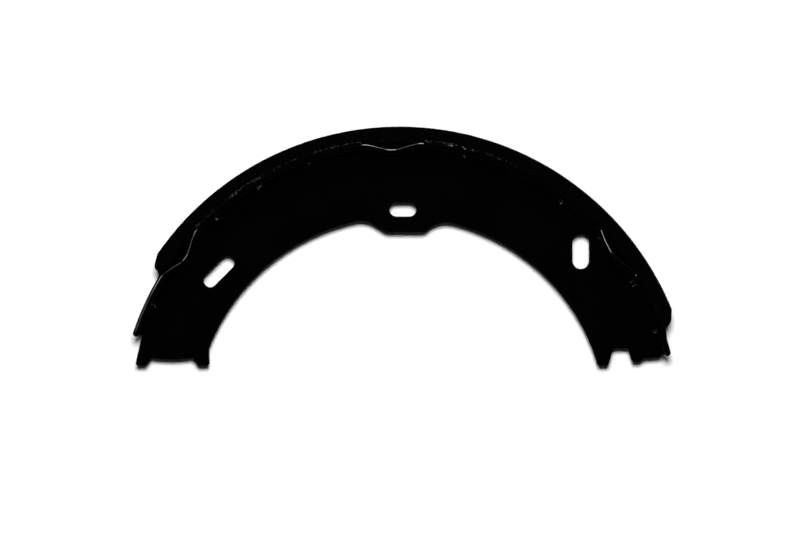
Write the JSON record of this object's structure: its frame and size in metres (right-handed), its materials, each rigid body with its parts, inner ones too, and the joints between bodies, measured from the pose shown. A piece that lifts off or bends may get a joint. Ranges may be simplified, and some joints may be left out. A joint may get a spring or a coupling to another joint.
{
  "type": "parking brake shoe",
  "caption": "Arched brake shoe: a stamped steel web welded to a rolled steel table that carries a bonded friction lining.",
  "frame": {"origin": "middle of the footprint, on the surface that the shoe lies on: the centre of the whole's bounding box, at its lowest level", "axes": "+Z along the drum's axis, from the side that the shoe lies on to the side that shows; +Y from the open side of the arch towards its crown; +X from the expander end towards the adjuster end"},
  "size_m": [0.1642, 0.0732, 0.025],
  "materials": {
    "web_coat": "thin black dip coat, satin",
    "table_coat": "thin black dip coat, satin",
    "friction_material": "moulded friction composite, ground face, matt",
    "adhesive": "cured bonding film, grainy at the edge",
    "coated_weld": "weld flash under black dip coat"
  },
  "bodies": {
    "root": {"shoe_web": "web_coat", "shoe_table": "table_coat", "friction_lining": "friction_material", "bond_line": "adhesive", "weld_beads": "coated_weld"}
  },
  "joints": []
}
